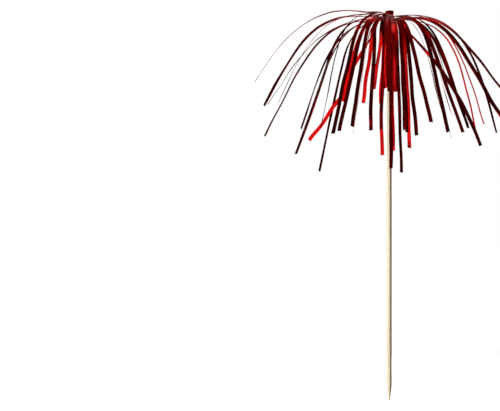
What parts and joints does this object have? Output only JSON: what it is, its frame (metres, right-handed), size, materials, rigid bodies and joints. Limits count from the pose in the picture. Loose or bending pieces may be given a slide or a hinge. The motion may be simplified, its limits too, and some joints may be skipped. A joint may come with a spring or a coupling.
{
  "type": "firework cocktail pick",
  "caption": "Pointed bamboo skewer with a firework burst of narrow red foil strips bound round its blunt end, folding over and falling all round; a party pick for drinks and cakes.",
  "frame": {"origin": "the point of the skewer, on its axis", "axes": "+Z along the skewer from its point to the foil head, -Y towards the viewer of the picture, +X to the viewer's right"},
  "size_m": [0.136, 0.1185, 0.202],
  "materials": {
    "bamboo": "dry sanded bamboo with fine lengthwise fibres",
    "glue": "set hot-melt glue",
    "foil": "red metallised polyester film, mirror-like and lightly creased",
    "tape": "red foil tape, glossy and wrinkled"
  },
  "bodies": {
    "pick": {"skewer": "bamboo", "glue": "glue", "crown_sleeve": "foil", "inner_roots": "foil", "outer_roots": "foil", "binding_tape": "tape"},
    "tuft_01": {"tuft_01_strand_1": "foil", "tuft_01_strand_2": "foil", "tuft_01_strand_3": "foil", "tuft_01_strand_4": "foil"},
    "tuft_02": {"tuft_02_strand_1": "foil", "tuft_02_strand_2": "foil", "tuft_02_strand_3": "foil", "tuft_02_strand_4": "foil"},
    "tuft_03": {"tuft_03_strand_1": "foil", "tuft_03_strand_2": "foil", "tuft_03_strand_3": "foil", "tuft_03_strand_4": "foil"},
    "tuft_04": {"tuft_04_strand_1": "foil", "tuft_04_strand_2": "foil", "tuft_04_strand_3": "foil", "tuft_04_strand_4": "foil"},
    "tuft_05": {"tuft_05_strand_1": "foil", "tuft_05_strand_2": "foil", "tuft_05_strand_3": "foil", "tuft_05_strand_4": "foil"},
    "tuft_06": {"tuft_06_strand_1": "foil", "tuft_06_strand_2": "foil", "tuft_06_strand_3": "foil", "tuft_06_strand_4": "foil"},
    "tuft_07": {"tuft_07_strand_1": "foil", "tuft_07_strand_2": "foil", "tuft_07_strand_3": "foil", "tuft_07_strand_4": "foil"},
    "tuft_08": {"tuft_08_strand_1": "foil", "tuft_08_strand_2": "foil", "tuft_08_strand_3": "foil", "tuft_08_strand_4": "foil"},
    "tuft_09": {"tuft_09_strand_1": "foil", "tuft_09_strand_2": "foil", "tuft_09_strand_3": "foil", "tuft_09_strand_4": "foil"},
    "tuft_10": {"tuft_10_strand_1": "foil", "tuft_10_strand_2": "foil", "tuft_10_strand_3": "foil", "tuft_10_strand_4": "foil"},
    "tuft_11": {"tuft_11_strand_1": "foil", "tuft_11_strand_2": "foil", "tuft_11_strand_3": "foil", "tuft_11_strand_4": "foil"},
    "tuft_12": {"tuft_12_strand_1": "foil", "tuft_12_strand_2": "foil", "tuft_12_strand_3": "foil", "tuft_12_strand_4": "foil"}
  },
  "joints": [
    {"name": "tuft_01_flex", "type": "hinge", "parent": "pick", "child": "tuft_01", "pos_m": [0, -0.00281, 0.19878], "axis": [-1, 0, 0], "range_deg": [-6, 25], "stiffness_Nm_per_rad": 0.001},
    {"name": "tuft_02_flex", "type": "hinge", "parent": "pick", "child": "tuft_02", "pos_m": [0.00175, -0.00303, 0.19678], "axis": [-0.866, -0.5, 0], "range_deg": [-6, 25], "stiffness_Nm_per_rad": 0.001},
    {"name": "tuft_03_flex", "type": "hinge", "parent": "pick", "child": "tuft_03", "pos_m": [0.00243, -0.0014, 0.19878], "axis": [-0.5, -0.866, 0], "range_deg": [-6, 25], "stiffness_Nm_per_rad": 0.001},
    {"name": "tuft_04_flex", "type": "hinge", "parent": "pick", "child": "tuft_04", "pos_m": [0.0035, 0, 0.19678], "axis": [0, -1, 0], "range_deg": [-6, 25], "stiffness_Nm_per_rad": 0.001},
    {"name": "tuft_05_flex", "type": "hinge", "parent": "pick", "child": "tuft_05", "pos_m": [0.00243, 0.0014, 0.19878], "axis": [0.5, -0.866, 0], "range_deg": [-6, 25], "stiffness_Nm_per_rad": 0.001},
    {"name": "tuft_06_flex", "type": "hinge", "parent": "pick", "child": "tuft_06", "pos_m": [0.00175, 0.00303, 0.19678], "axis": [0.866, -0.5, 0], "range_deg": [-6, 25], "stiffness_Nm_per_rad": 0.001},
    {"name": "tuft_07_flex", "type": "hinge", "parent": "pick", "child": "tuft_07", "pos_m": [0, 0.00281, 0.19878], "axis": [1, 0, 0], "range_deg": [-6, 25], "stiffness_Nm_per_rad": 0.001},
    {"name": "tuft_08_flex", "type": "hinge", "parent": "pick", "child": "tuft_08", "pos_m": [-0.00175, 0.00303, 0.19678], "axis": [0.866, 0.5, 0], "range_deg": [-6, 25], "stiffness_Nm_per_rad": 0.001},
    {"name": "tuft_09_flex", "type": "hinge", "parent": "pick", "child": "tuft_09", "pos_m": [-0.00243, 0.0014, 0.19878], "axis": [0.5, 0.866, 0], "range_deg": [-6, 25], "stiffness_Nm_per_rad": 0.001},
    {"name": "tuft_10_flex", "type": "hinge", "parent": "pick", "child": "tuft_10", "pos_m": [-0.0035, 0, 0.19678], "axis": [0, 1, 0], "range_deg": [-6, 25], "stiffness_Nm_per_rad": 0.001},
    {"name": "tuft_11_flex", "type": "hinge", "parent": "pick", "child": "tuft_11", "pos_m": [-0.00243, -0.0014, 0.19878], "axis": [-0.5, 0.866, 0], "range_deg": [-6, 25], "stiffness_Nm_per_rad": 0.001},
    {"name": "tuft_12_flex", "type": "hinge", "parent": "pick", "child": "tuft_12", "pos_m": [-0.00175, -0.00303, 0.19678], "axis": [-0.866, 0.5, 0], "range_deg": [-6, 25], "stiffness_Nm_per_rad": 0.001}
  ]
}
